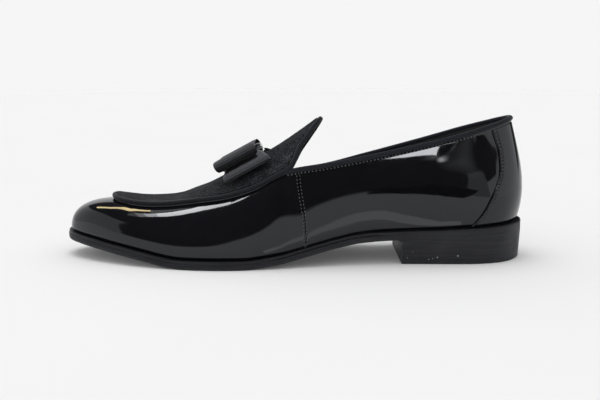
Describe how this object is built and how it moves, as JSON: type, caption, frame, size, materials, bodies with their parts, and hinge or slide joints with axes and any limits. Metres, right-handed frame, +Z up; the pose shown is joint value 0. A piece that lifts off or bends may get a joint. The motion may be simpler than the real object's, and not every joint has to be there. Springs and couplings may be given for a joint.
{
  "type": "patent leather evening loafer",
  "caption": "Low slip-on evening shoe for the left foot: glossy upper, bound matt apron with a tall pointed tongue, flat ribbon bow, thin sole and a low stacked heel.",
  "frame": {"origin": "on the floor, under the middle of the shoe's box", "axes": "+Z up, toe along -X, lateral side of the left foot towards -Y"},
  "size_m": [0.3017, 0.0998, 0.0925],
  "materials": {
    "patent": "high gloss patent",
    "suede": "matt suede nap",
    "ribbon": "ribbed grosgrain",
    "sole": "dyed and burnished edge",
    "heel": "dyed stacked layers",
    "lining": "smooth matt"
  },
  "bodies": {
    "root": {"outsole": "sole", "heel": "heel", "insole": "lining", "upper": "patent", "heel_counter": "patent", "apron_tongue": "suede", "apron_binding": "ribbon", "collar_binding": "ribbon", "bow_lower_loop": "ribbon", "bow_upper_loop": "ribbon", "bow_band": "ribbon"}
  },
  "joints": []
}
